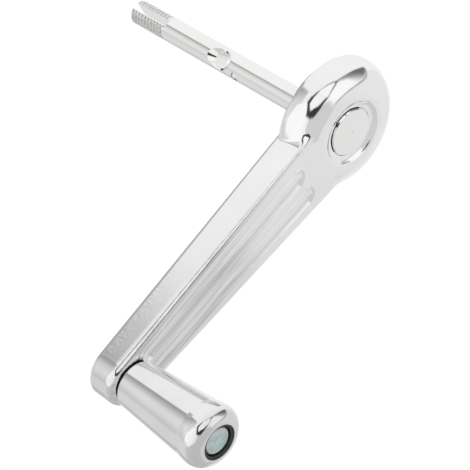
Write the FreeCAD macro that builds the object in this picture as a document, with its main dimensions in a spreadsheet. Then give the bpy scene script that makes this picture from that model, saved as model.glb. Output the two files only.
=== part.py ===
import FreeCAD, Part
import math
import os
import Sketcher

# Crank handle: a cast arm with a domed boss at one end and a revolving grip at the other, on a headed
# drive shaft with a slotted, threaded end.
#
# Frame, in millimetres: the shaft's axis is the Y axis and the shaft points to +Y. The arm points to
# -X, and the grip stands on the arm's front face and points to -Y. The origin is on the shaft's axis,
# in the plane of the arm's flat back.

SIZES = {
    # Cast arm
    "crank_radius": (99.0, "shaft axis to grip axis"),
    "arm_thickness": (10.4, "back face to front face of the arm"),
    "arm_root_half": (13.5, "half width of the arm at the shaft axis"),
    "arm_root_front_round": (1.0, "front edge radius of the arm at the shaft axis"),
    "arm_root_back_round": (0.8, "back edge radius of the arm at the shaft axis"),
    "arm_tip_radius": (8.8, "radius of the arm's small end"),
    "arm_tip_front_round": (3.0, "front edge radius of the small end"),
    "arm_tip_back_round": (1.8, "back edge radius of the small end"),
    "boss_radius": (21.2, "outer radius of the boss"),
    "boss_height": (11.2, "back face to front rim of the boss"),
    "boss_front_round": (8.9, "front edge radius of the boss"),
    "boss_back_round": (2.1, "back edge radius of the boss"),
    "blend_back": (1.0, "fillet between the boss and the arm, at the back"),
    "blend_side": (16.0, "that fillet where the arm's front edge meets the boss"),
    "blend_front": (30.0, "that fillet on the arm's front face"),
    # Dish in the boss
    "dish_radius": (11.0, "radius of the dish at its rim"),
    "dish_rim_share": (0.25, "share of the dish's wall that its rounded rim takes"),
    "dish_depth": (1.25, "front rim to the bottom of the dish"),
    "seat_depth": (3.8, "front rim to the seat of the shaft's head"),
    "head_gap": (0.3, "gap round the shaft's head in its seat"),
    # Flutes in the arm's front face
    "flute_root_place": (23.0, "shaft axis to the centre of the flutes' round root end"),
    "flute_tip_place": (90.2, "shaft axis to the centre of the flutes' round tip end"),
    "flute_root_width": (7.0, "width of a flute at its root end"),
    "flute_tip_width": (5.2, "width of a flute at its tip end"),
    "flute_depth": (0.9, "depth of a flute"),
    "rib_width": (2.0, "width of the rib between the flutes"),
    # Drive shaft
    "shaft_radius": (4.0, "radius of the drive shaft"),
    "shaft_reach": (85.0, "back face of the arm to the end of the shaft"),
    "land_radius": (4.3, "radius of the shaft's land in the boss"),
    "land_clearance": (0.02, "gap round the shaft's land in the boss"),
    "head_radius": (7.65, "radius of the shaft's head"),
    "head_sink": (0.6, "front rim of the boss to the face of the shaft's head"),
    "head_edge": (0.35, "edge chamfer of the shaft's head"),
    "centre_mark_radius": (0.7, "radius of the lathe centre in the shaft's head"),
    "centre_mark_depth": (0.4, "depth of the lathe centre in the shaft's head"),
    "neck_half": (4.4, "half the width across the flats of the square neck"),
    "neck_length": (4.0, "length of the square neck under the head"),
    "thread_radius": (3.9, "outer radius of the thread"),
    "thread_length": (14.9, "length of the thread"),
    "relief_radius": (3.45, "radius of the groove where the thread ends"),
    "relief_width": (0.9, "width of the groove where the thread ends"),
    "shaft_tip_edge": (0.9, "chamfer at the end of the shaft"),
    "slot_half": (1.25, "half the width of the slot in the shaft's end"),
    "slot_length": (16.2, "length of the slot in the shaft's end"),
    "cross_place": (43.8, "back face of the arm to the cross hole"),
    "cross_angle": (116.0, "direction of the cross hole round the shaft, from +X towards +Z"),
    "cross_radius": (2.7, "radius of the cross hole"),
    "sink_floor": (2.0, "shaft axis to the bottom of the countersink"),
    "sink_spread": (1.1, "countersink radius gained for each millimetre of height"),
    "dimple_place": (36.3, "back face of the arm to the set screw's dimple"),
    "dimple_angle": (161.0, "direction of the dimple round the shaft, from +X towards +Z"),
    "dimple_radius": (1.4, "radius of the dimple"),
    "dimple_depth": (2.0, "depth of the dimple's wall below the shaft's surface"),
    "drill_point": (0.6, "height of the drill's point below a blind hole's wall"),
    # Grip
    "arm_washer_thickness": (0.4, "thickness of the washer on the arm"),
    "arm_washer_radius": (5.8, "outer radius of the washer on the arm"),
    "flange_thickness": (0.5, "thickness of the inner bush's flange"),
    "flange_radius": (6.9, "outer radius of the inner bush's flange"),
    "grip_length": (35.3, "length of the grip sleeve"),
    "grip_base_radius": (7.6, "radius of the grip at the arm"),
    "grip_base_round": (0.6, "edge radius of the grip at the arm"),
    "grip_cone_radius": (9.62, "radius of the grip where its cone ends"),
    "grip_max_radius": (10.05, "largest radius of the grip"),
    "grip_flare_length": (3.4, "length from the cone's end to the largest radius"),
    "grip_dome_length": (4.5, "length from the largest radius to the grip's end"),
    "grip_mouth_rim": (0.5, "width of the flat rim round the grip's mouth"),
    "mouth_radius": (5.75, "radius of the mouth in the grip's end"),
    "mouth_depth": (4.6, "depth of the mouth in the grip's end"),
    "grip_bore_radius": (4.6, "radius of the bore through the grip"),
    "bush_length": (9.0, "length of a bush inside the grip's bore"),
    "cup_inset": (0.5, "grip's end to the edge of the outer bush's cup"),
    "cup_floor": (1.0, "thickness of the floor of the outer bush's cup"),
    "cup_gap": (0.35, "gap between the axle's head and the outer bush's cup"),
    # Axle of the grip
    "axle_radius": (3.0, "radius of the axle inside the grip"),
    "running_clearance": (0.05, "radial clearance between the axle and its bushes"),
    "washer_clearance": (0.1, "radial clearance between the axle and its washers"),
    "end_play": (0.05, "axial play of the grip"),
    "tail_radius": (2.5, "radius of the axle's tail in the arm"),
    "peen_radius": (3.5, "radius of the peened end of the tail"),
    "peen_depth": (1.2, "depth of the peened end of the tail"),
    "axle_head_radius": (4.5, "radius of the axle's head"),
    "axle_head_thickness": (2.1, "thickness of the axle's head"),
    "axle_head_edge": (0.4, "edge chamfer of the axle's head"),
    "spring_height": (0.6, "height of the cone spring washer under the axle's head"),
    "spring_thickness": (0.3, "thickness of the cone spring washer"),
    "spring_radius": (4.3, "outer radius of the cone spring washer"),
    # Cuts
    "overshoot": (1.0, "how far a cutting outline reaches past the surface that it opens"),
}


class Size:
    """A number that also knows the spreadsheet formula that gives it."""

    def __init__(self, text, value):
        self.text = text
        self.value = float(value)

    def __add__(self, other):
        return join(self, "+", other, self.value + number(other))

    def __radd__(self, other):
        return join(other, "+", self, number(other) + self.value)

    def __sub__(self, other):
        return join(self, "-", other, self.value - number(other))

    def __rsub__(self, other):
        return join(other, "-", self, number(other) - self.value)

    def __mul__(self, other):
        return join(self, "*", other, self.value * number(other))

    def __rmul__(self, other):
        return join(other, "*", self, number(other) * self.value)

    def __truediv__(self, other):
        return join(self, "/", other, self.value / number(other))

    def __neg__(self):
        return 0 - self


def number(size):
    return size.value if isinstance(size, Size) else float(size)


def formula(size):
    return size.text if isinstance(size, Size) else repr(float(size))


def join(first, sign, second, value):
    return Size(f"({formula(first)} {sign} {formula(second)})", value)


def arc_radius(rise, run):
    """The radius of an arc that sets off along the run and has gained the rise at its end."""
    return (rise * rise + run * run) / (2 * rise)


doc = FreeCAD.newDocument("CrankHandle")
sheet = doc.addObject("Spreadsheet::Sheet", "Dims")
dim = {}
for row, (alias, (amount, meaning)) in enumerate(SIZES.items(), start=1):
    sheet.set(f"A{row}", meaning)
    sheet.set(f"B{row}", str(amount))
    sheet.setAlias(f"B{row}", alias)
    dim[alias] = Size(f"Dims.{alias}", amount)
doc.recompute()


# Sketches and features

def make_body(name, along_x=None):
    body = doc.addObject("PartDesign::Body", name)
    body.Label = name
    if along_x is not None:
        body.setExpression("Placement.Base.x", along_x.text)
    return body


def make_sketch(body, name, role, lift=None, turn=None):
    """A sketch on one of the body's own planes, lifted along its normal or turned about its y axis."""
    sketch = body.newObject("Sketcher::SketchObject", name)
    plane = next(item for item in body.Origin.OriginFeatures if item.Role == role)
    sketch.AttachmentSupport = [(plane, "")]
    sketch.MapMode = "FlatFace"
    if turn is not None:
        turning = FreeCAD.Rotation(FreeCAD.Vector(0, 1, 0), number(turn))
        sketch.AttachmentOffset = FreeCAD.Placement(FreeCAD.Vector(), turning)
        sketch.setExpression("AttachmentOffset.Rotation.Angle", turn.text)
    if lift is not None:
        sketch.setExpression("AttachmentOffset.Base.z", lift.text)
    return sketch


def tie(sketch, kind, where, size):
    index = sketch.addConstraint(Sketcher.Constraint(kind, *where, number(size)))
    if isinstance(size, Size):
        sketch.setExpression(f"Constraints[{index}]", size.text)


def draw(sketch, steps):
    """A closed outline. A step is a corner (x, y), or (x, y, radius, turn) where an arc leads from the
    corner to the next one: turn is +1 for a counter-clockwise arc and -1 for a clockwise one."""
    spots = [FreeCAD.Vector(number(step[0]), number(step[1]), 0) for step in steps]
    begins = [2 if len(step) == 4 and step[3] < 0 else 1 for step in steps]
    for index, step in enumerate(steps):
        start = spots[index]
        end = spots[(index + 1) % len(steps)]
        if len(step) == 2:
            sketch.addGeometry(Part.LineSegment(start, end), False)
        else:
            half = (end - start) * 0.5
            radius = number(step[2])
            height = math.sqrt(max(radius ** 2 - half.Length ** 2, 0.0))
            side = FreeCAD.Vector(-half.y, half.x, 0).normalize() * step[3]
            middle = start + half + side * (height - radius)
            sketch.addGeometry(Part.Arc(start, middle, end), False)
    for index, step in enumerate(steps):
        after = (index + 1) % len(steps)
        joined = Sketcher.Constraint("Coincident", index, 3 - begins[index], after, begins[after])
        sketch.addConstraint(joined)
    for index, step in enumerate(steps):
        tie(sketch, "DistanceX", (-1, 1, index, begins[index]), step[0])
        tie(sketch, "DistanceY", (-1, 1, index, begins[index]), step[1])
        if len(step) == 4:
            tie(sketch, "Radius", (index,), step[2])


def add_axis(sketch, first, last):
    """A construction line from one point to another, to turn an outline about."""
    ends = [FreeCAD.Vector(number(spot[0]), number(spot[1]), 0) for spot in (first, last)]
    line = sketch.addGeometry(Part.LineSegment(*ends), True)
    for place, spot in enumerate((first, last), start=1):
        tie(sketch, "DistanceX", (-1, 1, line, place), spot[0])
        tie(sketch, "DistanceY", (-1, 1, line, place), spot[1])


def turn_outline(body, name, sketch, cut=False, axis="V_Axis", angle=360.0, reverse=False):
    feature = body.newObject("PartDesign::Groove" if cut else "PartDesign::Revolution", name)
    feature.Profile = sketch
    feature.ReferenceAxis = (sketch, [axis])
    feature.Angle = angle
    feature.Reversed = reverse


def loft(body, name, first, last, cut=False):
    feature = body.newObject("PartDesign::SubtractiveLoft" if cut else "PartDesign::AdditiveLoft", name)
    feature.Profile = first
    feature.Sections = [last]
    feature.Ruled = True


def turned_body(name, steps, along_x=None):
    """A body turned about Y from one outline of corners (radius, place along the axis)."""
    body = make_body(name, along_x)
    sketch = make_sketch(body, name + "_outline", "XY_Plane")
    draw(sketch, steps)
    turn_outline(body, name + "_turned", sketch)
    return body


touch = 0.01  # places nearer than this are the same

# Places along the Y axis, counted from the arm's back face

rim = -dim["boss_height"]
arm_front = -dim["arm_thickness"]
seat = rim + dim["seat_depth"]
seat_radius = dim["head_radius"] + dim["head_gap"]
bore_radius = dim["land_radius"] + dim["land_clearance"]
grip_axis = -dim["crank_radius"]
flange_front = arm_front - dim["arm_washer_thickness"]
grip_base = flange_front - dim["flange_thickness"]
grip_end = grip_base - dim["grip_length"]
mouth_floor = grip_end + dim["mouth_depth"]
cup_seat = mouth_floor - dim["cup_floor"]
spring_end = cup_seat - dim["end_play"] - dim["spring_height"]
axle_end = spring_end - dim["axle_head_thickness"]
bush_bore = dim["axle_radius"] + dim["running_clearance"]
washer_bore = dim["axle_radius"] + dim["washer_clearance"]


# Blank of the cast arm: the bar, its small end and the boss, before they are blended and cut

arm_blank = make_body("arm_blank")


def arm_section(name, place, half, front_round, back_round):
    """The arm's cross section: a bar with its corners rounded, lifted to its place along the arm."""
    sketch = make_sketch(arm_blank, name, "YZ_Plane", lift=place)
    draw(sketch, [
        (0 - back_round, half, back_round, -1),
        (0.0, half - back_round),
        (0.0, back_round - half, back_round, -1),
        (0 - back_round, 0 - half),
        (arm_front + front_round, 0 - half, front_round, -1),
        (arm_front, front_round - half),
        (arm_front, half - front_round, front_round, -1),
        (arm_front + front_round, half),
    ])
    return sketch


root_section = arm_section("root_section", Size("0", 0), dim["arm_root_half"],
                           dim["arm_root_front_round"], dim["arm_root_back_round"])
tip_section = arm_section("tip_section", grip_axis, dim["arm_tip_radius"],
                          dim["arm_tip_front_round"], dim["arm_tip_back_round"])
loft(arm_blank, "arm_bar", root_section, tip_section)

tip_outline = make_sketch(arm_blank, "tip_outline", "YZ_Plane", lift=grip_axis)
draw(tip_outline, [
    (0.0, 0.0),
    (0.0, dim["arm_tip_radius"] - dim["arm_tip_back_round"], dim["arm_tip_back_round"], 1),
    (0 - dim["arm_tip_back_round"], dim["arm_tip_radius"]),
    (arm_front + dim["arm_tip_front_round"], dim["arm_tip_radius"], dim["arm_tip_front_round"], 1),
    (arm_front, dim["arm_tip_radius"] - dim["arm_tip_front_round"]),
    (arm_front, 0.0),
])
turn_outline(arm_blank, "arm_tip", tip_outline, axis="H_Axis", angle=180.0, reverse=True)

boss_outline = make_sketch(arm_blank, "boss_outline", "XY_Plane")
draw(boss_outline, [
    (0.0, 0.0),
    (dim["boss_radius"] - dim["boss_back_round"], 0.0, dim["boss_back_round"], -1),
    (dim["boss_radius"], 0 - dim["boss_back_round"]),
    (dim["boss_radius"], rim + dim["boss_front_round"], dim["boss_front_round"], -1),
    (dim["boss_radius"] - dim["boss_front_round"], rim),
    (0.0, rim),
])
turn_outline(arm_blank, "boss", boss_outline)


def blend_radius(spot):
    """The fillet's radius at a spot of the seam: small at the back and large on the front face."""
    if spot.Y < arm_front.value + touch:
        return dim["blend_front"].value
    if spot.Y < arm_front.value / 2:
        return dim["blend_side"].value
    return dim["blend_back"].value


def seam_edges():
    """The edges where the arm runs into the boss, each with the fillet's radius at its two ends."""
    seam = []
    for index, edge in enumerate(arm_blank.Shape.Edges, start=1):
        middle = edge.valueAt((edge.FirstParameter + edge.LastParameter) / 2)
        beside_boss = -dim["boss_radius"].value < middle.x < 0 and middle.y < -touch
        if beside_boss and not isinstance(edge.Curve, Part.Circle):
            seam.append((index, blend_radius(edge.Vertexes[0]), blend_radius(edge.Vertexes[-1])))
    return seam


doc.recompute()
blend = doc.addObject("Part::Fillet", "boss_blend")
blend.Base = arm_blank
blend.Edges = seam_edges()


# Cast arm: the blended blank with its dish, holes and flutes cut

crank_arm = make_body("crank_arm")
crank_arm.BaseFeature = blend

dish_bottom = rim + dim["dish_depth"]
dish_run = dim["dish_radius"] - seat_radius
dish_curve = arc_radius(dim["dish_depth"], dish_run)
dish_outline = make_sketch(crank_arm, "dish_outline", "XY_Plane")
draw(dish_outline, [
    (0.0, seat),
    (seat_radius, seat),
    (seat_radius, dish_bottom, dish_curve * (1 - dim["dish_rim_share"]), -1),
    (dim["dish_radius"] - dish_run * dim["dish_rim_share"],
     rim + dim["dish_depth"] * dim["dish_rim_share"], dish_curve * dim["dish_rim_share"], 1),
    (dim["dish_radius"], rim),
    (dim["dish_radius"], rim - dim["overshoot"]),
    (0.0, rim - dim["overshoot"]),
])
turn_outline(crank_arm, "dish", dish_outline, cut=True)

bore_outline = make_sketch(crank_arm, "bore_outline", "XY_Plane")
draw(bore_outline, [
    (0.0, seat - dim["overshoot"]),
    (bore_radius, seat - dim["overshoot"]),
    (bore_radius, dim["overshoot"]),
    (0.0, dim["overshoot"]),
])
turn_outline(crank_arm, "shaft_bore", bore_outline, cut=True)


def square_sketch(body, name, place, half):
    """A square about the shaft's axis. Its plane's normal points to -Y."""
    sketch = make_sketch(body, name, "XZ_Plane", lift=0 - place)
    draw(sketch, [(half, half), (0 - half, half), (0 - half, 0 - half), (half, 0 - half)])
    return sketch


neck_socket = crank_arm.newObject("PartDesign::Pocket", "neck_socket")
neck_socket.Profile = square_sketch(crank_arm, "neck_socket_square", seat, dim["neck_half"])
neck_socket.setExpression("Length", dim["neck_length"].text)

before_front = arm_front - dim["overshoot"]
tail_outline = make_sketch(crank_arm, "tail_outline", "YZ_Plane", lift=grip_axis)
draw(tail_outline, [
    (before_front, 0.0),
    (dim["overshoot"], 0.0),
    (dim["overshoot"], dim["peen_radius"]),
    (0.0, dim["peen_radius"]),
    (0 - dim["peen_depth"], dim["tail_radius"]),
    (before_front, dim["tail_radius"]),
])
turn_outline(crank_arm, "tail_hole", tail_outline, cut=True, axis="H_Axis")


def cut_flute(name, side):
    """A shallow trough with round ends in the arm's front face. side is +1 for +Z and -1 for -Z."""
    lofted = []
    for end, place, width in (("root", 0 - dim["flute_root_place"], dim["flute_root_width"]),
                              ("tip", 0 - dim["flute_tip_place"], dim["flute_tip_width"])):
        curve = arc_radius(dim["flute_depth"], width / 2)
        inner = dim["rib_width"] / 2
        near, far = (inner, inner + width) if side > 0 else (0 - inner - width, 0 - inner)
        section = make_sketch(crank_arm, f"{name}_{end}_section", "YZ_Plane", lift=place)
        draw(section, [
            (before_front, near),
            (arm_front, near, curve, 1),
            (arm_front, far),
            (before_front, far),
        ])
        lofted.append(section)
        half_outline = make_sketch(crank_arm, f"{name}_{end}_outline", "YZ_Plane", lift=place)
        middle = side * (inner + width / 2)
        draw(half_outline, [
            (before_front, middle),
            (arm_front + dim["flute_depth"], middle, curve, 1),
            (arm_front, middle + width / 2),
            (before_front, middle + width / 2),
        ])
        add_axis(half_outline, (before_front, middle), (arm_front, middle))
        turn_outline(crank_arm, f"{name}_{end}_end", half_outline, cut=True, axis="Axis0", angle=180.0,
                     reverse=end == "tip")
    loft(crank_arm, name, *lofted, cut=True)


cut_flute("upper_flute", 1)
cut_flute("lower_flute", -1)


# Drive shaft

head_face = rim + dim["head_sink"]
thread_start = dim["shaft_reach"] - dim["thread_length"]
drive_shaft = turned_body("drive_shaft", [
    (0.0, head_face),
    (dim["head_radius"] - dim["head_edge"], head_face),
    (dim["head_radius"], head_face + dim["head_edge"]),
    (dim["head_radius"], seat),
    (dim["land_radius"], seat),
    (dim["land_radius"], 0.0),
    (dim["shaft_radius"], 0.0),
    (dim["shaft_radius"], thread_start - dim["relief_width"]),
    (dim["relief_radius"], thread_start - dim["relief_width"]),
    (dim["relief_radius"], thread_start),
    (dim["thread_radius"], thread_start),
    (dim["thread_radius"], dim["shaft_reach"] - dim["shaft_tip_edge"]),
    (dim["thread_radius"] - dim["shaft_tip_edge"], dim["shaft_reach"]),
    (0.0, dim["shaft_reach"]),
])

neck = drive_shaft.newObject("PartDesign::Pad", "neck")
neck.Profile = square_sketch(drive_shaft, "neck_square", seat, dim["neck_half"])
neck.setExpression("Length", dim["neck_length"].text)
neck.Reversed = True

centre_outline = make_sketch(drive_shaft, "centre_outline", "XY_Plane")
draw(centre_outline, [
    (0.0, head_face - dim["overshoot"]),
    (dim["centre_mark_radius"], head_face - dim["overshoot"]),
    (dim["centre_mark_radius"], head_face),
    (0.0, head_face + dim["centre_mark_depth"]),
])
turn_outline(drive_shaft, "centre_mark", centre_outline, cut=True)

slot_outline = make_sketch(drive_shaft, "slot_outline", "XY_Plane")
draw(slot_outline, [
    (dim["slot_half"], dim["shaft_reach"] - dim["slot_length"]),
    (dim["slot_half"], dim["shaft_reach"] + dim["overshoot"]),
    (0 - dim["slot_half"], dim["shaft_reach"] + dim["overshoot"]),
    (0 - dim["slot_half"], dim["shaft_reach"] - dim["slot_length"]),
])
slot = drive_shaft.newObject("PartDesign::Pocket", "slot")
slot.Profile = slot_outline
slot.Type = "ThroughAll"
slot.Midplane = True


def drill_shaft(name, place, angle, foot, steps):
    """A hole across the shaft, from its foot on the hole's axis outwards. Heights count from the shaft's
    axis, and a step is (height, radius of the hole there)."""
    outline = make_sketch(drive_shaft, name + "_outline", "XY_Plane", turn=0 - angle)
    top = steps[-1][0]
    draw(outline, [(foot, place), (top, place)] + [(at, place + radius) for at, radius in reversed(steps)])
    add_axis(outline, (foot, place), (top, place))
    turn_outline(drive_shaft, name, outline, cut=True, axis="Axis0")


beyond = dim["shaft_radius"] + dim["overshoot"]
sink_rim = dim["cross_radius"] + (beyond - dim["sink_floor"]) * dim["sink_spread"]
drill_shaft("cross_hole", dim["cross_place"], dim["cross_angle"], 0 - beyond, [
    (0 - beyond, dim["cross_radius"]),
    (dim["sink_floor"], dim["cross_radius"]),
    (beyond, sink_rim),
])
dimple_floor = dim["shaft_radius"] - dim["dimple_depth"]
drill_shaft("dimple", dim["dimple_place"], dim["dimple_angle"], dimple_floor - dim["drill_point"], [
    (dimple_floor, dim["dimple_radius"]),
    (beyond, dim["dimple_radius"]),
])


# Grip and its bushes

dome_start = grip_end + dim["grip_dome_length"]
flare_start = dome_start + dim["grip_flare_length"]
mouth_edge = dim["mouth_radius"] + dim["grip_mouth_rim"]
dome_radius = arc_radius(dim["grip_max_radius"] - mouth_edge, dim["grip_dome_length"])
flare_radius = arc_radius(dim["grip_max_radius"] - dim["grip_cone_radius"], dim["grip_flare_length"])
turned_body("grip_sleeve", [
    (dim["grip_bore_radius"], grip_base),
    (dim["grip_base_radius"] - dim["grip_base_round"], grip_base, dim["grip_base_round"], -1),
    (dim["grip_base_radius"], grip_base - dim["grip_base_round"]),
    (dim["grip_cone_radius"], flare_start, flare_radius, -1),
    (dim["grip_max_radius"], dome_start, dome_radius, -1),
    (mouth_edge, grip_end),
    (dim["mouth_radius"], grip_end),
    (dim["mouth_radius"], mouth_floor),
    (dim["grip_bore_radius"], mouth_floor),
], grip_axis)

turned_body("bush_inner", [
    (bush_bore, flange_front),
    (dim["flange_radius"], flange_front),
    (dim["flange_radius"], grip_base),
    (dim["grip_bore_radius"], grip_base),
    (dim["grip_bore_radius"], grip_base - dim["bush_length"]),
    (bush_bore, grip_base - dim["bush_length"]),
], grip_axis)

cup_inner = dim["axle_head_radius"] + dim["cup_gap"]
turned_body("bush_outer", [
    (bush_bore, mouth_floor + dim["bush_length"]),
    (bush_bore, cup_seat),
    (cup_inner, cup_seat),
    (cup_inner, grip_end + dim["cup_inset"]),
    (dim["mouth_radius"], grip_end + dim["cup_inset"]),
    (dim["mouth_radius"], mouth_floor),
    (dim["grip_bore_radius"], mouth_floor),
    (dim["grip_bore_radius"], mouth_floor + dim["bush_length"]),
], grip_axis)


# Axle of the grip and its washers

turned_body("grip_axle", [
    (0.0, 0.0),
    (dim["peen_radius"], 0.0),
    (dim["tail_radius"], 0 - dim["peen_depth"]),
    (dim["tail_radius"], arm_front),
    (dim["axle_radius"], arm_front),
    (dim["axle_radius"], spring_end),
    (dim["axle_head_radius"], spring_end),
    (dim["axle_head_radius"], axle_end + dim["axle_head_edge"]),
    (dim["axle_head_radius"] - dim["axle_head_edge"], axle_end),
    (0.0, axle_end),
], grip_axis)

turned_body("axle_washer", [
    (washer_bore, arm_front),
    (dim["arm_washer_radius"], arm_front),
    (dim["arm_washer_radius"], flange_front + dim["end_play"]),
    (washer_bore, flange_front + dim["end_play"]),
], grip_axis)

cone_rise = dim["spring_height"] - dim["spring_thickness"]
turned_body("spring_washer", [
    (washer_bore, spring_end),
    (dim["spring_radius"], spring_end + cone_rise),
    (dim["spring_radius"], spring_end + dim["spring_height"]),
    (washer_bore, spring_end + dim["spring_thickness"]),
], grip_axis)


# Test and export

doc.recompute()
failed = [item.Name for item in doc.Objects if "Invalid" in item.State or "Error" in item.State]
if failed:
    raise RuntimeError(f"failed features: {failed}")
os.makedirs("parts", exist_ok=True)
for body in doc.findObjects("PartDesign::Body"):
    if body is arm_blank:
        continue
    shape = body.Shape
    if shape.isNull() or not shape.isValid() or len(shape.Solids) != 1:
        raise RuntimeError(f"{body.Label} isn't one valid solid")
    shape.exportStep(f"parts/{body.Label}.step")
    print(body.Label, round(shape.Volume, 1), "mm3")
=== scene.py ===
import bpy, bmesh, math
from mathutils import Matrix, Vector


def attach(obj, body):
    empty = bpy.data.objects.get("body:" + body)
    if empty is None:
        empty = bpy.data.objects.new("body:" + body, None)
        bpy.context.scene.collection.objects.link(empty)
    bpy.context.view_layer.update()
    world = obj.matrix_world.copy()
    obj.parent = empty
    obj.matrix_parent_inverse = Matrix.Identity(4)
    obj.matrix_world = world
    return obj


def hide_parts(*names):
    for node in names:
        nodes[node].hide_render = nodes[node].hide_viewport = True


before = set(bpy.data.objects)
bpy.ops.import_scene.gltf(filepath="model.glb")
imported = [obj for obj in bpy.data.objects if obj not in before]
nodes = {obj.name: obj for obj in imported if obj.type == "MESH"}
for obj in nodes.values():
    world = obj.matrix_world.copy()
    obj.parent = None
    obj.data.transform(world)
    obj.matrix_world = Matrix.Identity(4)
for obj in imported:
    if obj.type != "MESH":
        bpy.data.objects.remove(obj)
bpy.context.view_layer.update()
print("frame loaded:", ", ".join(sorted(nodes)))


# A shader socket that can be added, multiplied and so on

class Plug:
    def __init__(self, tree, socket=None):
        self.tree = tree
        self.socket = socket

    def node(self, kind, settings=None, values=None, give=0):
        # settings are set first, then each input gets its value or link; give is the output to go on with
        made = self.tree.nodes.new(kind)
        for name, setting in (settings or {}).items():
            setattr(made, name, setting)
        for name, value in (values or {}).items():
            if isinstance(value, Plug):
                self.tree.links.new(value.socket, made.inputs[name])
            else:
                made.inputs[name].default_value = value
        if made.outputs:
            return Plug(self.tree, made.outputs[give])

    def maths(self, operation, first, second):
        return self.node("ShaderNodeMath", {"operation": operation}, {0: first, 1: second})

    def __add__(self, other):
        return self.maths("ADD", self, other)

    __radd__ = __add__

    def __mul__(self, other):
        return self.maths("MULTIPLY", self, other)

    __rmul__ = __mul__

    def __sub__(self, other):
        return self.maths("SUBTRACT", self, other)

    def __rsub__(self, other):
        return self.maths("SUBTRACT", other, self)

    def vector(self, operation, other, give=0):
        return self.node("ShaderNodeVectorMath", {"operation": operation}, {0: self, 1: other}, give)

    def axis(self, letter):
        return self.node("ShaderNodeSeparateXYZ", {}, {0: self}, letter)

    def between(self, low, high):
        # 0 below low, 1 above high, soft in between
        return self.node("ShaderNodeMapRange", {"interpolation_type": "SMOOTHSTEP"},
                         {"Value": self, "From Min": low, "From Max": high})

    def blend(self, lower, upper):
        # this mask picks the upper colour
        return self.node("ShaderNodeMix", {"data_type": "RGBA"},
                         {"Factor": self, "A": lower, "B": upper}, "Result")

    def show(self, kind):
        # the tree gives this out
        self.node(kind, {}, {"Surface": self})


def emptyTree(owner):
    owner.use_nodes = True
    owner.node_tree.nodes.clear()
    return Plug(owner.node_tree)


def grey(level, warm=0.0):
    # warm leans to red, or to blue below 0
    return (level * (1 + warm), level, level * (1 - warm), 1.0)


seedStep = (1.0, 0.7, 1.3)  # how far a seed of 1 moves a pattern


def noise(coords, size, detail, seed):
    # a pattern whose blotches are about size metres across
    moved = coords.vector("ADD", [seed * step for step in seedStep])
    return coords.node("ShaderNodeTexNoise", {}, {"Vector": moved, "Scale": 1.0 / size, "Detail": detail})


# Small modelling helpers, used as by hand

mm = 0.001
alongY = (-math.pi / 2, 0, 0)  # lays what stands on +Z along +Y


def deselectAll():
    if bpy.context.object and bpy.context.object.mode != "OBJECT":
        bpy.ops.object.mode_set(mode="OBJECT")
    bpy.ops.object.select_all(action="DESELECT")


def pick(piece):
    deselectAll()
    piece.select_set(True)
    bpy.context.view_layer.objects.active = piece


def pickVertices(piece, test):
    # edit mode, with only the vertices that pass the test selected
    bpy.ops.object.mode_set(mode="EDIT")
    bpy.ops.mesh.select_mode(type="VERT")
    bpy.ops.mesh.select_all(action="DESELECT")
    mesh = bmesh.from_edit_mesh(piece.data)
    for vertex in mesh.verts:
        vertex.select_set(test(vertex.co))
    mesh.select_flush_mode()
    bmesh.update_edit_mesh(piece.data)


def faceOutwards():
    # in edit mode, and leaves it
    bpy.ops.mesh.select_all(action="SELECT")
    bpy.ops.mesh.normals_make_consistent(inside=False)
    bpy.ops.object.mode_set(mode="OBJECT")


def setPlace(piece):
    # the place goes into the mesh
    bpy.ops.object.transform_apply(location=True, rotation=True, scale=True)
    return piece


def lathe(name, outline, sides, turn, place):
    # a round bar: a disc is extruded and resized from one (radius, height) to the next, then set down
    deselectAll()
    radius, height = outline[0]
    bpy.ops.mesh.primitive_circle_add(vertices=sides, radius=radius * mm, fill_type="NGON",
                                      location=(0, 0, height * mm))
    piece = setPlace(bpy.context.object)
    piece.name = name
    bpy.ops.object.mode_set(mode="EDIT")
    bpy.ops.mesh.select_all(action="SELECT")
    for nextRadius, nextHeight in outline[1:]:
        bpy.ops.mesh.extrude_region_move(TRANSFORM_OT_translate={"value": (0, 0, (nextHeight - height) * mm)})
        grow = nextRadius / radius
        bpy.ops.transform.resize(value=(grow, grow, 1), center_override=(0, 0, nextHeight * mm))
        radius, height = nextRadius, nextHeight
    faceOutwards()
    piece.rotation_euler = turn
    piece.location = place
    return setPlace(piece)


def carve(piece, cutter, material, operation="DIFFERENCE"):
    # the cut faces take the cutter's material, and the cutter is thrown away
    cutter.data.materials.append(material)
    pick(piece)
    cut = piece.modifiers.new("cut", "BOOLEAN")
    cut.operation = operation
    cut.solver = "EXACT"
    cut.material_mode = "TRANSFER"
    cut.object = cutter
    bpy.ops.object.modifier_apply(modifier=cut.name)
    bpy.data.objects.remove(cutter)


def joinDoubles(piece, distance):
    # cleans up what the cuts leave
    pick(piece)
    bpy.ops.object.mode_set(mode="EDIT")
    bpy.ops.mesh.select_all(action="SELECT")
    bpy.ops.mesh.remove_doubles(threshold=distance)
    bpy.ops.mesh.dissolve_degenerate(threshold=distance)
    bpy.ops.object.mode_set(mode="OBJECT")


# Camera, as the photograph was taken

camera = {
    "place": (-0.19627, -0.43477, 0.57198),
    # its own three axes
    "right": (0.64124, -0.68407, -0.34765),
    "up": (0.73928, 0.42936, 0.51876),
    "back": (-0.20560, -0.58966, 0.78104),
    "lens": 190.2,
    "sensor": 36.0,
    "nearest": 0.01,
    "farthest": 20.0,
}


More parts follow.
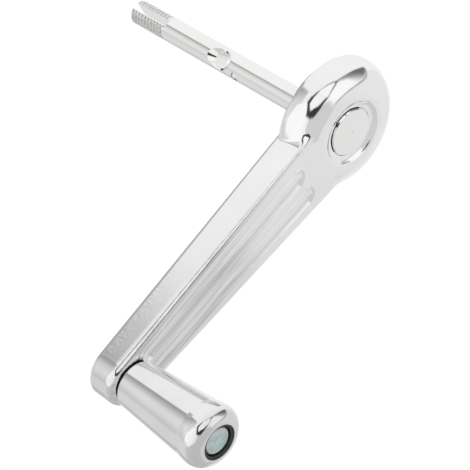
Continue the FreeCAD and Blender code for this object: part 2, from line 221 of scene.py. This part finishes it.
def addCamera(setting):
    data = bpy.data.cameras.new("camera")
    data.lens = setting["lens"]
    data.sensor_width = setting["sensor"]
    data.clip_start = setting["nearest"]
    data.clip_end = setting["farthest"]
    made = bpy.data.objects.new("camera", data)
    bpy.context.scene.collection.objects.link(made)
    turn = Matrix([setting["right"], setting["up"], setting["back"]]).transposed()
    made.matrix_world = Matrix.Translation(setting["place"]) @ turn.to_4x4()
    bpy.context.scene.camera = made


addCamera(camera)
bpy.context.scene.view_settings.view_transform = "Standard"
print("camera placed")


# Studio: a white room, with soft grey and dark cards that show only in reflections

studio = {
    "room": 0.90,  # what reflections show between the cards
    "ambient": 0.72,  # what lights the dull surfaces
    "floorHeight": -0.30,
    "floorSize": 6.0,
    "floorPaper": 0.9,
    "floorGlow": 1.05,
    "floorGlowShare": 0.85,  # the rest is paper, which takes the shadow
    "lampAim": (-0.05, 0, 0),
}
lamps = [
    {"name": "softboxLeft", "place": (-1.1, -0.4, 1.3), "size": 1.1, "power": 9.0},
    {"name": "softboxTop", "place": (0.5, 0.5, 1.6), "size": 1.3, "power": 5.4},
]

# Each card: its level, the softness of its edges in degrees, and its corners as (azimuth, elevation). A third
# number in a corner is the softness of the edge that starts there. A later card covers an earlier one.
# The shaft points to azimuth 90, the arm to 180 and the grip to 270.
cards = [
    # below, from the grip's side round to the right
    (0.81, 6, [(276, -14), (276, -82), (20, -82, 20), (20, -40), (350, -14)]),
    # behind, round to the arm's side
    (0.69, 8, [(83, 84, 5), (83, 20), (110, -30), (172, -30, 16), (172, 60)]),
    (0.34, 8, [(83, 84, 5), (83, 18), (100, 18, 26), (100, 84)]),
    (0.48, 3, [(76, -14), (76, 42), (91, 42), (91, -14)]),
    (0.71, 8, [(104, 6), (104, -40), (176, -40), (176, 9), (146, 6)]),
    (0.77, 8, [(114, 42), (114, 29), (138, 24), (152, 36), (132, 46)]),
    (0.62, 5, [(125, 20), (125, 8), (146, 8), (146, 15)]),
    # below, from behind round to the grip's side
    (0.54, 14, [(112, -26), (112, -76), (205, -76), (205, -26)]),
    (0.60, 6, [(166, 8), (166, -76), (243, -76), (243, 16)]),
    (0.63, 4, [(225, 12), (225, -24), (284, -24, 5), (284, 12), (272, 26), (258, 32), (243, 34)]),
    (0.62, 6, [(225, -16), (225, -76), (286, -76, 16), (286, -16)]),
    (0.76, 6, [(250, -28), (250, -63), (296, -63, 10), (296, -28)]),
    # a white window at the arm's side
    (0.99, 6, [(152, 17), (142, 31), (142, 62), (228, 72), (235, 44), (221, 27), (195, 12, 14)]),
    # a dark frame high over the grip's side, with a white pane in it
    (0.07, 5, [(231, 74), (233, 57), (252, 63), (272, 67), (268, 77)]),
    (0.12, 4, [(262, 76), (262, 67), (300, 61), (302, 65)]),
    (0.05, 4, [(231, 75), (231, 42), (244, 39), (247, 72)]),
    (0.04, 5, [(231, 47), (239, 34), (254, 22), (272, 21), (274, 35), (258, 42), (247, 48)]),
    (0.06, 4, [(268, 34), (268, 24), (289, 21), (290, 28)]),
    (0.97, 4, [(246, 64), (248, 49), (259, 43), (279, 37), (282, 58), (268, 66)]),
    # grey at the right, round two white panes
    (0.30, 4, [(290, 66), (304, 63, 3), (322, 36, 3), (319, 32), (308, 52)]),
    (0.36, 4, [(312, 32), (322, 34, 3), (358, -13, 2), (324, -13, 22)]),
    (0.16, 5, [(330, 18), (340, 12, 3), (358, -13, 2), (336, -13, 16)]),
    (0.07, 3, [(285, 22), (285, 27), (318, 36), (324, 31)]),
    (0.97, 4, [(288, 62), (285, 27), (314, 34), (303, 60)]),
    (0.99, 12, [(285, 25), (285, -8), (312, -12), (322, 8), (318, 28)]),
    (0.42, 3, [(285, -12), (285, -16), (357, -16), (357, -12)]),
    # a dark strip low behind
    (0.15, 6, [(70, -6), (70, -46), (90, -46), (90, -6)]),
]


def direction(azimuth, elevation):
    turn, rise = math.radians(azimuth), math.radians(elevation)
    return Vector((math.cos(turn) * math.cos(rise), math.sin(turn) * math.cos(rise), math.sin(rise)))


def cardMask(looking, softness, corners):
    # 1 inside the card, 0 outside: one soft half space for each of its edges
    points = [direction(*corner[:2]) for corner in corners]
    middle = sum(points, Vector()).normalized()
    mask = None
    for corner, here, after in zip(corners, points, points[1:] + points[:1]):
        soft = math.sin(math.radians(corner[2] if len(corner) == 3 else softness)) / 2
        inwards = here.cross(after).normalized()
        if inwards.dot(middle) < 0:
            inwards = -inwards
        edge = looking.vector("DOT_PRODUCT", inwards, "Value").between(-soft, soft)
        mask = edge if mask is None else mask * edge
    return mask


def addRoom():
    # the camera sees white, glossy rays see the cards, and all other rays see one even level
    world = bpy.data.worlds.new("studio")
    bpy.context.scene.world = world
    start = emptyTree(world)
    looking = start.node("ShaderNodeTexCoord", give="Generated")
    level = studio["room"]
    for brightness, softness, corners in cards:
        level = level + cardMask(looking, softness, corners) * (brightness - level)
    glossyRay = start.node("ShaderNodeLightPath", give="Is Glossy Ray")
    cameraRay = start.node("ShaderNodeLightPath", give="Is Camera Ray")
    seen = glossyRay * level + (1 - glossyRay) * studio["ambient"]
    seen = cameraRay + (1 - cameraRay) * seen
    background = start.node("ShaderNodeBackground", {}, {"Color": grey(1.0), "Strength": seen})
    background.show("ShaderNodeOutputWorld")


def addFloor():
    deselectAll()
    bpy.ops.mesh.primitive_plane_add(size=studio["floorSize"], location=(0, 0, studio["floorHeight"]))
    floor = bpy.context.object
    floor.name = "floor"
    floor.visible_glossy = False
    material = bpy.data.materials.new("floorWhite")
    start = emptyTree(material)
    whiteShare = start.node("ShaderNodeLightPath", give="Is Camera Ray") * studio["floorGlowShare"]
    paper = start.node("ShaderNodeBsdfDiffuse", {}, {"Color": grey(studio["floorPaper"])})
    white = start.node("ShaderNodeEmission", {}, {"Color": grey(1.0), "Strength": studio["floorGlow"]})
    surface = start.node("ShaderNodeMixShader", {}, {0: whiteShare, 1: paper, 2: white})
    surface.show("ShaderNodeOutputMaterial")
    floor.data.materials.append(material)


def addLamp(lamp):
    data = bpy.data.lights.new(lamp["name"], "AREA")
    data.shape = "SQUARE"
    data.size = lamp["size"]
    data.energy = lamp["power"]
    made = bpy.data.objects.new(lamp["name"], data)
    bpy.context.scene.collection.objects.link(made)
    made.location = lamp["place"]
    aim = Vector(studio["lampAim"]) - made.location
    made.rotation_euler = aim.to_track_quat("-Z", "Y").to_euler()
    made.visible_glossy = False


addRoom()
addFloor()
for lamp in lamps:
    addLamp(lamp)
print("studio ready:", len(cards), "cards")


# Materials: places, sizes and depths are in metres, and a pattern is its size, its detail and its seed

def newMaterial(name):
    material = bpy.data.materials.new(name)
    return material, emptyTree(material).node("ShaderNodeTexCoord", give="Object")


def finishMaterial(coords, height, depth, values):
    relief = {"Height": height, "Strength": 1.0, "Distance": depth}
    values["Normal"] = coords.node("ShaderNodeBump", {}, relief, "Normal")
    coords.node("ShaderNodeBsdfPrincipled", {}, values).show("ShaderNodeOutputMaterial")


def chrome(name, finish):
    # slightly wavy plating with clouds in it, and with painted shade: it grows paler along one axis, darker
    # towards the low end
    material, coords = newMaterial(name)
    wave = noise(coords, *finish["wave"])
    peel = noise(coords, *finish["peel"])
    streak = noise(coords.vector("MULTIPLY", finish["drawn"]), *finish["streak"])
    height = wave + peel * finish["peelShare"] + streak * finish["streakShare"]
    cloud = noise(coords, *finish["cloud"])
    # painted shade, darker towards the low end of this axis
    paintedShadeRamp = coords.axis(finish["paintedShadeAxis"]).between(*finish["paintedShadeFrom"])
    clear = finish["clearShare"] + (1 - finish["clearShare"]) * cloud.between(*finish["cloudEdges"])
    colour = (clear * paintedShadeRamp).blend(finish["deep"], finish["pale"])
    # painted shade over the arm's front, with painted dark reflection lines in it; the pits only go into the
    # bump
    if "pitsAndPaintedShade" in finish:
        pitsAndPaintedShade = finish["pitsAndPaintedShade"]
        along, depth = coords.axis("X"), coords.axis("Y")
        onArmFront = (1 - depth.between(*pitsAndPaintedShade["front"])) * (1 - along.between(*pitsAndPaintedShade["arm"]))
        paintedFrontShade = onArmFront * (pitsAndPaintedShade["paintedFrontShare"] + streak.between(*pitsAndPaintedShade["lineEdges"]) * pitsAndPaintedShade["lineShare"])
        colour = paintedFrontShade.blend(colour, pitsAndPaintedShade["line"])
        pit = noise(coords, *pitsAndPaintedShade["pit"]).between(*pitsAndPaintedShade["pitEdges"])
        height = height - pit * (1 - paintedShadeRamp) * depth.between(*pitsAndPaintedShade["back"]) * pitsAndPaintedShade["pitShare"]
    finishMaterial(coords, height, finish["waveDepth"], {
        "Base Color": colour,
        "Metallic": 1.0,
        "Roughness": finish["roughness"] + cloud * finish["haze"],
    })
    return material


castChrome = {
    "wave": (0.014, 1.0, 0.3), "waveDepth": 0.00003, "peel": (0.0012, 2.0, 0.9), "peelShare": 0.03,
    "streak": (0.0007, 2.0, 0.1), "streakShare": 0.10, "drawn": (0.03, 1, 1),
    "cloud": (0.012, 3.0, 0.5), "cloudEdges": (0.35, 0.65), "clearShare": 0.7,
    # painted shade: darker towards the arm's small end
    "pale": grey(0.97, 0.004), "deep": grey(0.86, -0.004), "paintedShadeAxis": "X", "paintedShadeFrom": (-0.12, -0.03),
    "roughness": 0.05, "haze": 0.05,
    # painted shade and painted dark reflection lines on the arm's front, and pits along its back edge
    "pitsAndPaintedShade": {
        "front": (-0.0098, -0.0080), "arm": (-0.060, -0.030), "paintedFrontShare": 0.13,
        "line": grey(0.50, -0.01), "lineShare": 0.46, "lineEdges": (0.48, 0.68),
        "back": (-0.007, -0.001), "pit": (0.0011, 3.0, 0.8), "pitEdges": (0.40, 0.75), "pitShare": 0.30,
    },
}
steelPlate = {
    "wave": (0.006, 1.0, 0.3), "waveDepth": 0.00001, "peel": (0.0006, 2.0, 0.9), "peelShare": 0.04,
    "streak": (0.0006, 2.0, 0.1), "streakShare": 0.20, "drawn": (1, 0.05, 1),
    "cloud": (0.012, 3.0, 0.5), "cloudEdges": (0.35, 0.65), "clearShare": 0.7,
    "pale": grey(0.98, 0.006), "deep": grey(0.93, 0.012), "paintedShadeAxis": "X", "paintedShadeFrom": (-0.03, -0.02),
    "roughness": 0.07, "haze": 0.06,
}
gripChrome = {
    "wave": (0.012, 1.0, 0.3), "waveDepth": 0.00001, "peel": (0.0010, 2.0, 0.9), "peelShare": 0.04,
    "streak": (0.0006, 2.0, 0.1), "streakShare": 0.15, "drawn": (1, 0.05, 1),
    "cloud": (0.012, 3.0, 0.5), "cloudEdges": (0.35, 0.65), "clearShare": 0.7,
    # painted shade: darker over the grip's outer end
    "pale": grey(0.92), "deep": grey(0.78, 0.004), "paintedShadeAxis": "Y", "paintedShadeFrom": (-0.0460, -0.0425),
    "roughness": 0.04, "haze": 0.04,
}


def dull(name, finish):
    # a blotchy finish whose colour, shine and height follow one pattern
    material, coords = newMaterial(name)
    blotch = noise(coords, *finish["blotch"])
    height = blotch
    if "fine" in finish:
        height = blotch + noise(coords, *finish["fine"]) * finish["fineShare"]
    finishMaterial(coords, height, finish["depth"], {
        "Base Color": blotch.between(*finish["edges"]).blend(finish["dark"], finish["light"]),
        "Metallic": finish["metallic"],
        "Roughness": finish["roughness"] + blotch * finish["haze"],
    })
    return material


zincPlate = {
    "blotch": (0.0018, 3.0, 0.2), "edges": (0.3, 0.7), "depth": 0.00004,
    "fine": (0.0003, 2.0, 0.6), "fineShare": 0.4,
    "dark": (0.47, 0.57, 0.57, 1), "light": (0.61, 0.71, 0.70, 1),
    "metallic": 0.75, "roughness": 0.38, "haze": 0.2,
}
blackNylon = {
    "blotch": (0.0004, 3.0, 0.4), "edges": (0.3, 0.7), "depth": 0.00002,
    "dark": grey(0.012), "light": grey(0.022),
    "metallic": 0.0, "roughness": 0.35, "haze": 0.2,
}
springSteel = {
    "blotch": (0.002, 3.0, 0.7), "edges": (0.3, 0.7), "depth": 0.00002,
    "dark": grey(0.22, 0.05), "light": grey(0.38, 0.02),
    "metallic": 1.0, "roughness": 0.3, "haze": 0.2,
}
# painted shade: the thread's cut faces are darker, standing in for shade in its grooves
paintedThreadShade = {
    "blotch": (0.0009, 3.0, 0.35), "edges": (0.3, 0.7), "depth": 0.00001,
    "dark": grey(0.66, 0.01), "light": grey(0.90, 0.01),
    "metallic": 1.0, "roughness": 0.22, "haze": 0.2,
}

finishes = {
    "crank_arm": chrome("castChrome", castChrome),
    "drive_shaft": chrome("steelPlate", steelPlate),
    "grip_sleeve": chrome("gripChrome", gripChrome),
    "grip_axle": dull("zincPlate", zincPlate),
    "axle_washer": dull("zincPlate", zincPlate),
    "bush_inner": dull("blackNylon", blackNylon),
    "bush_outer": dull("blackNylon", blackNylon),
    "spring_washer": dull("springSteel", springSteel),
}
for name, material in finishes.items():
    slots = nodes[name].data.materials
    slots.clear()
    slots.append(material)
print("materials set:", len(finishes))


# Drive shaft with its cut thread: sizes are in millimetres, places are along the shaft, and angles go
# from +X to +Z. A cutter goes past what it cuts by cutSpare.

shaft = {
    "sides": 144, "radius": 4.0, "reach": 85.0, "tipEdge": 0.9,
    "headRadius": 7.65, "headEdge": 0.35, "headFace": -10.6, "seat": -7.4, "landRadius": 4.3, "landEnd": 0.0,
    "neckHalf": 4.4, "neckFrom": -7.5, "neckTo": -3.4,
    "markSides": 32, "markRadius": 0.7, "markDepth": 0.4,
    "cutSpare": 1.0, "drillSides": 96,
    "holePlace": 43.8, "holeAngle": 116.0, "holeRadius": 2.7, "sinkFloor": 2.0, "sinkSpread": 1.1,
    "dimplePlace": 36.3, "dimpleAngle": 161.0, "dimpleRadius": 1.4, "dimpleFloor": 2.0,
    "drillPoint": 0.6, "pointRadius": 0.02,
    "reliefRadius": 3.45, "reliefFrom": 69.2, "reliefTo": 70.1, "threadRadius": 3.9,
    "pitch": 1.41, "turns": 12, "turnSteps": 72, "threadFrom": 69.75,
    "rootRadius": 3.2, "rootHalf": 0.195, "outerRadius": 4.05, "outerHalf": 0.685, "cutterSides": 4,
    "slotHalf": 1.25, "slotFrom": 68.8,
    "doubles": 0.004, "smoothBelow": 22,
}


def shaftOutline(size):
    # (radius, place) from the face of the head to the tip
    return [
        (size["headRadius"] - size["headEdge"], size["headFace"]),
        (size["headRadius"], size["headFace"] + size["headEdge"]),
        (size["headRadius"], size["seat"]),
        (size["landRadius"], size["seat"]),
        (size["landRadius"], size["landEnd"]),
        (size["radius"], size["landEnd"]),
        (size["radius"], size["reliefFrom"]),
        (size["reliefRadius"], size["reliefFrom"]),
        (size["reliefRadius"], size["reliefTo"]),
        (size["threadRadius"], size["reliefTo"]),
        (size["threadRadius"], size["reach"] - size["tipEdge"]),
        (size["threadRadius"] - size["tipEdge"], size["reach"]),
    ]


def holeOutline(size):
    # a straight drill with a widening sink at its top
    beyond = size["radius"] + size["cutSpare"]
    rim = size["holeRadius"] + (beyond - size["sinkFloor"]) * size["sinkSpread"]
    return [(size["holeRadius"], -beyond), (size["holeRadius"], size["sinkFloor"]), (rim, beyond)]


def dimpleOutline(size):
    # a blind drill, with its tip a little blunt, as the points of a sharp one would all fall together
    return [
        (size["dimpleRadius"], size["radius"] + size["cutSpare"]),
        (size["dimpleRadius"], size["dimpleFloor"]),
        (size["pointRadius"], size["dimpleFloor"] - size["drillPoint"]),
    ]


def makeDrill(size, outline, angle, place):
    # a round cutter across the shaft, its (radius, height) outline told from the shaft's axis
    return lathe("drill", outline, size["drillSides"], (0, math.radians(90 - angle), 0), (0, place * mm, 0))


def makeMark(size):
    # a lathe centre's mark: its cone is halfway in the head, so it is twice as wide and deep
    deselectAll()
    bpy.ops.mesh.primitive_cone_add(vertices=size["markSides"], radius1=2 * size["markRadius"] * mm,
                                    radius2=0, depth=2 * size["markDepth"] * mm,
                                    location=(0, size["headFace"] * mm, 0), rotation=alongY)
    return bpy.context.object


def makeBar(half, low, high, halfHeight):
    # a square bar about the shaft's axis, from low to high along it
    deselectAll()
    bpy.ops.mesh.primitive_cube_add(size=mm, location=(0, (low + high) / 2 * mm, 0),
                                    scale=(2 * half, high - low, 2 * halfHeight))
    return bpy.context.object


def makeThreadCutter(size):
    # one V of the thread, narrow at its root and wide outside, wound round the axis
    deselectAll()
    middle = size["rootRadius"] + size["rootHalf"]
    bpy.ops.mesh.primitive_plane_add(size=2 * size["rootHalf"] * mm, location=(middle * mm, 0, 0))
    cutter = setPlace(bpy.context.object)
    pickVertices(cutter, lambda spot: spot.x > middle * mm)
    widen = size["outerHalf"] / size["rootHalf"]
    bpy.ops.transform.resize(value=(1, widen, 1), center_override=(0, 0, 0))
    outwards = size["outerRadius"] - size["rootRadius"] - 2 * size["rootHalf"]
    bpy.ops.transform.translate(value=(outwards * mm, 0, 0))
    bpy.ops.mesh.select_all(action="SELECT")
    bpy.ops.transform.translate(value=(0, size["threadFrom"] * mm, 0))
    bpy.ops.object.mode_set(mode="OBJECT")
    wind = cutter.modifiers.new("wind", "SCREW")
    wind.axis = "Y"
    wind.screw_offset = size["pitch"] * mm
    wind.iterations = size["turns"]
    wind.steps = wind.render_steps = size["turnSteps"]
    bpy.ops.object.modifier_apply(modifier=wind.name)
    # its two open ends are closed
    bpy.ops.object.mode_set(mode="EDIT")
    bpy.ops.mesh.select_all(action="DESELECT")
    bpy.ops.mesh.select_non_manifold()
    bpy.ops.mesh.fill_holes(sides=size["cutterSides"])
    faceOutwards()
    return cutter


def makeShaft(size):
    plated = finishes["drive_shaft"]
    piece = lathe("driveShaft", shaftOutline(size), size["sides"], alongY, (0, 0, 0))
    piece.data.materials.append(plated)
    neck = makeBar(size["neckHalf"], size["neckFrom"], size["neckTo"], size["neckHalf"])
    carve(piece, neck, plated, "UNION")
    carve(piece, makeMark(size), plated)
    carve(piece, makeDrill(size, holeOutline(size), size["holeAngle"], size["holePlace"]), plated)
    carve(piece, makeDrill(size, dimpleOutline(size), size["dimpleAngle"], size["dimplePlace"]), plated)
    # the thread's cut faces take a darker material: painted shade in the grooves
    carve(piece, makeThreadCutter(size), dull("paintedThreadShade", paintedThreadShade))
    slotTo = size["reach"] + size["cutSpare"]
    slotHeight = size["radius"] + size["cutSpare"]
    carve(piece, makeBar(size["slotHalf"], size["slotFrom"], slotTo, slotHeight), plated)
    joinDoubles(piece, size["doubles"] * mm)
    bpy.ops.object.shade_smooth_by_angle(angle=math.radians(size["smoothBelow"]))
    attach(piece, "crank")
    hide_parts("drive_shaft")
    print("drive shaft cut:", len(piece.data.polygons), "faces")


makeShaft(shaft)
